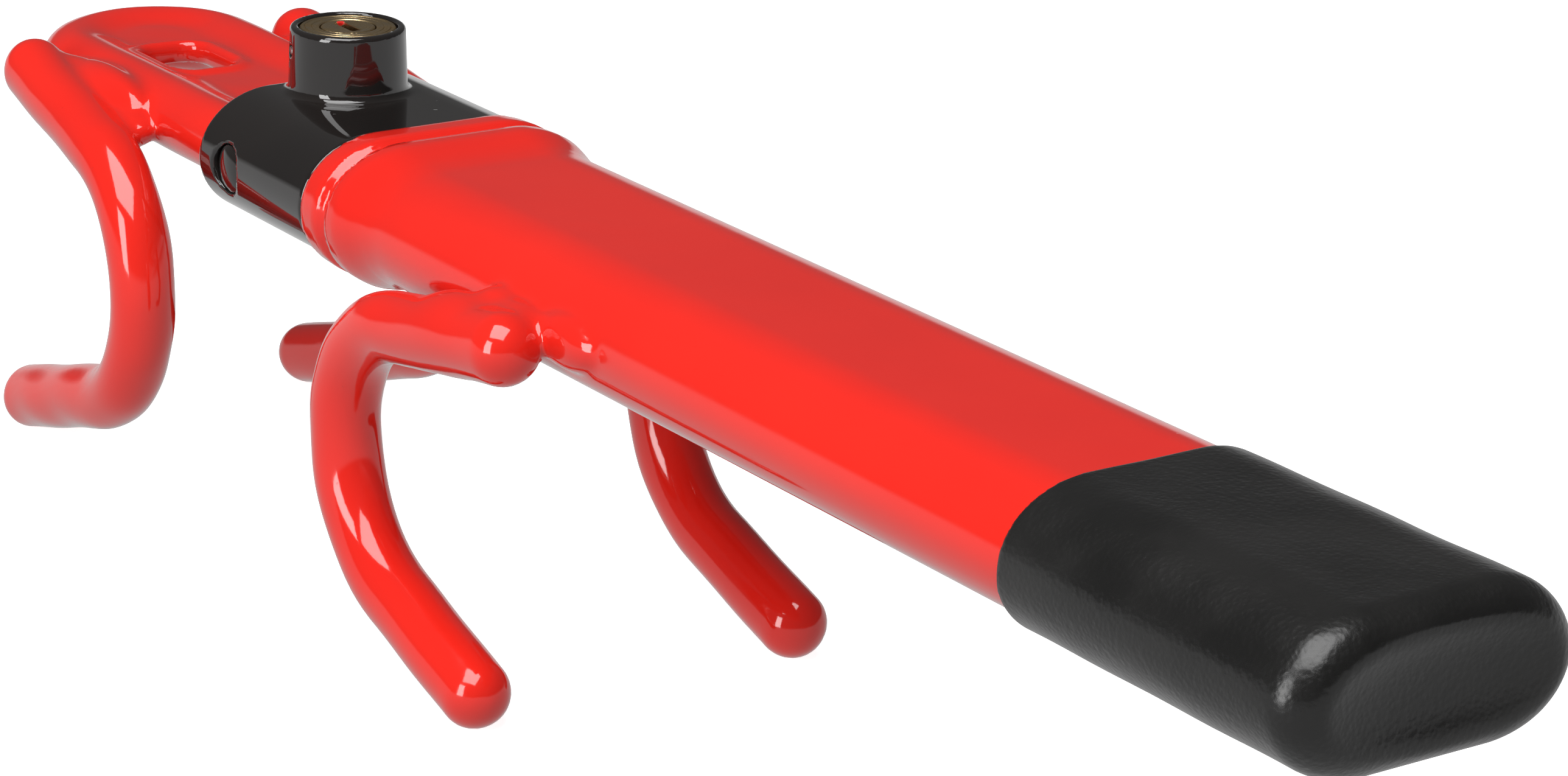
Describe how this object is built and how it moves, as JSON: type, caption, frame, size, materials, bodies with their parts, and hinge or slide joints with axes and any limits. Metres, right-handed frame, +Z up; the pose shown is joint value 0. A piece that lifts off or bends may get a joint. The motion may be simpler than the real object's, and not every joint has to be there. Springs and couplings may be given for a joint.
{
  "type": "steering wheel lock",
  "caption": "Telescopic steering wheel lock with two hooks on the tube, two on the sliding hairpin, and a key cylinder that bolts it.",
  "frame": {"origin": "middle of the ground under the closed lock, at the height of the lowest point of the rear hooks", "axes": "+X from the hairpin's loop towards the grip, +Y across the tube, +Z up out of the lock cylinder"},
  "size_m": [0.4398, 0.0897, 0.1053],
  "materials": {
    "red_vinyl": "glossy red vinyl dip over steel",
    "black_vinyl": "satin, fine leather grain",
    "black_paint": "gloss black paint over cast zinc",
    "lock_brass": "turned, dull and slightly dark",
    "bare_steel": "drawn bar, lightly oiled"
  },
  "bodies": {
    "tube": {"outer_tube": "red_vinyl", "grip_sleeve": "black_vinyl", "lock_housing": "black_paint", "rear_hook_left": "red_vinyl", "rear_hook_right": "red_vinyl", "rear_weld_left": "red_vinyl", "rear_weld_right": "red_vinyl", "side_plug_left": "black_paint", "side_plug_right": "black_paint", "lock_shell": "lock_brass", "shell_pin": "bare_steel"},
    "extension": {"hairpin_loop": "red_vinyl", "leg_left": "bare_steel", "leg_right": "bare_steel", "hairpin_web": "red_vinyl", "front_hook_left": "red_vinyl", "front_hook_right": "red_vinyl", "front_weld_left": "red_vinyl", "front_weld_right": "red_vinyl", "leg_guide": "bare_steel", "guide_pin_left": "bare_steel", "guide_pin_right": "bare_steel"},
    "plug": {"lock_plug": "lock_brass", "lock_cam": "bare_steel", "cam_clip": "bare_steel"},
    "bolt_left": {"locking_bolt_left": "bare_steel"},
    "bolt_right": {"locking_bolt_right": "bare_steel"},
    "wafer_a": {"wafer_1": "lock_brass"},
    "wafer_b": {"wafer_2": "lock_brass"},
    "wafer_c": {"wafer_3": "lock_brass"},
    "wafer_d": {"wafer_4": "lock_brass"},
    "wafer_e": {"wafer_5": "lock_brass"}
  },
  "joints": [
    {"name": "extension_slide", "type": "slide", "parent": "tube", "child": "extension", "axis": [-1, 0, 0], "range_m": [0, 0.228]},
    {"name": "plug_turn", "type": "hinge", "parent": "tube", "child": "plug", "pos_m": [-0.10945, 0, 0.09], "axis": [0, 0, 1], "range_deg": [0, 90]},
    {"name": "bolt_left_slide", "type": "slide", "parent": "tube", "child": "bolt_left", "axis": [0, -1, 0], "range_m": [0, 0.0026]},
    {"name": "bolt_right_slide", "type": "slide", "parent": "tube", "child": "bolt_right", "axis": [0, 1, 0], "range_m": [0, 0.0026]},
    {"name": "wafer_1_slide", "type": "slide", "parent": "plug", "child": "wafer_a", "axis": [1, 0, 0], "range_m": [0, 0.0008]},
    {"name": "wafer_2_slide", "type": "slide", "parent": "plug", "child": "wafer_b", "axis": [-1, 0, 0], "range_m": [0, 0.0008]},
    {"name": "wafer_3_slide", "type": "slide", "parent": "plug", "child": "wafer_c", "axis": [1, 0, 0], "range_m": [0, 0.0008]},
    {"name": "wafer_4_slide", "type": "slide", "parent": "plug", "child": "wafer_d", "axis": [-1, 0, 0], "range_m": [0, 0.0008]},
    {"name": "wafer_5_slide", "type": "slide", "parent": "plug", "child": "wafer_e", "axis": [1, 0, 0], "range_m": [0, 0.0008]}
  ],
  "couplings": [
    {"joint": "bolt_left_slide", "follows": "plug_turn", "m_per_rad": 0.001655},
    {"joint": "bolt_right_slide", "follows": "plug_turn", "m_per_rad": 0.001655},
    {"joint": "wafer_2_slide", "follows": "wafer_1_slide", "ratio": 1},
    {"joint": "wafer_3_slide", "follows": "wafer_1_slide", "ratio": 1},
    {"joint": "wafer_4_slide", "follows": "wafer_1_slide", "ratio": 1},
    {"joint": "wafer_5_slide", "follows": "wafer_1_slide", "ratio": 1}
  ]
}
